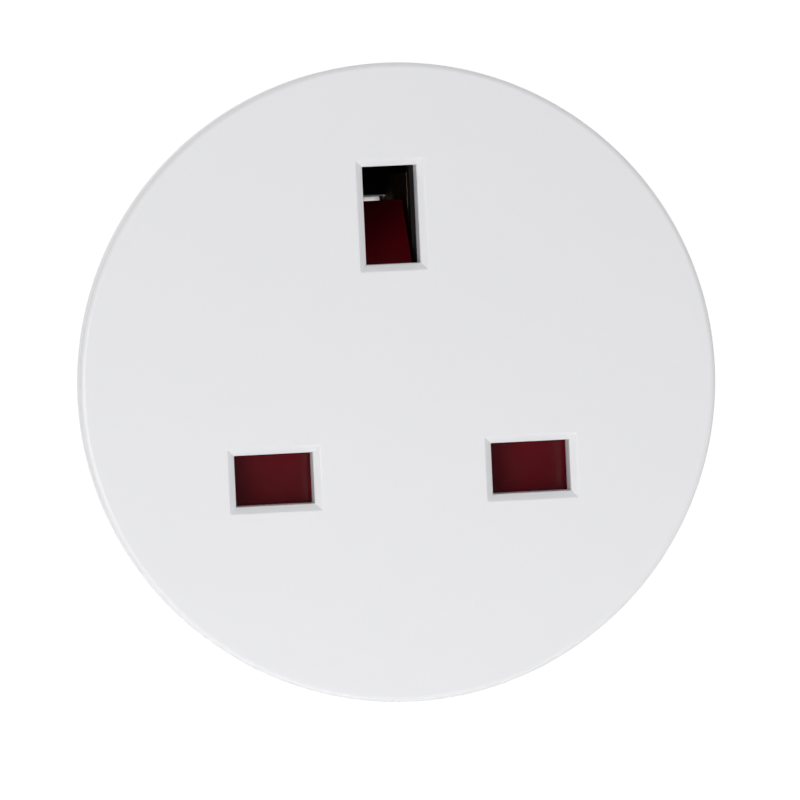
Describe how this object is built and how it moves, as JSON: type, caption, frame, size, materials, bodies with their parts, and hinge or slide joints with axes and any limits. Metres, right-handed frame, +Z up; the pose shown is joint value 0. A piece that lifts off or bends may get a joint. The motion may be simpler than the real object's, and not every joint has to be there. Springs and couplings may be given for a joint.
{
  "type": "travel adapter",
  "caption": "Round white travel adapter: shuttered flat-pin socket face on a round two-pin plug with side earth clips.",
  "frame": {"origin": "centre of the plug nose's end face, on the plug's axis", "axes": "+X right seen from the socket side, +Y into the wall along the plug pins, +Z up"},
  "size_m": [0.055, 0.062, 0.055],
  "materials": {
    "cover_plastic": "smooth moulded, cool white, soft gloss",
    "housing_plastic": "smooth moulded, cool white, soft gloss",
    "carrier_plastic": "black glass-filled moulding",
    "shutter_plastic": "dark red, glossy",
    "nickel_plate": "bright nickel-plated brass",
    "contact_brass": "bright rolled brass strip",
    "spring_steel": "bright spring steel",
    "zinc_steel": "zinc-plated steel"
  },
  "bodies": {
    "housing": {"front_cover": "cover_plastic", "rear_housing": "housing_plastic", "contact_carrier": "carrier_plastic", "pin_retainer": "carrier_plastic", "shutter_spring": "spring_steel", "live_pin": "nickel_plate", "neutral_pin": "nickel_plate", "live_bar": "contact_brass", "neutral_bar": "contact_brass", "live_clip": "contact_brass", "neutral_clip": "contact_brass", "live_band": "spring_steel", "neutral_band": "spring_steel", "earth_clip": "contact_brass", "earth_band": "spring_steel", "earth_bracket": "nickel_plate", "earth_tube": "nickel_plate", "clip_rivets": "contact_brass", "cover_screws": "zinc_steel"},
    "shutter": {"shutter": "shutter_plastic"}
  },
  "joints": [
    {"name": "shutter_slide", "type": "slide", "parent": "housing", "child": "shutter", "axis": [0, 0, -1], "range_m": [0, 0.00541], "stiffness_N_per_m": 300, "springref_m": -0.004, "deforming": ["shutter_spring"]}
  ]
}
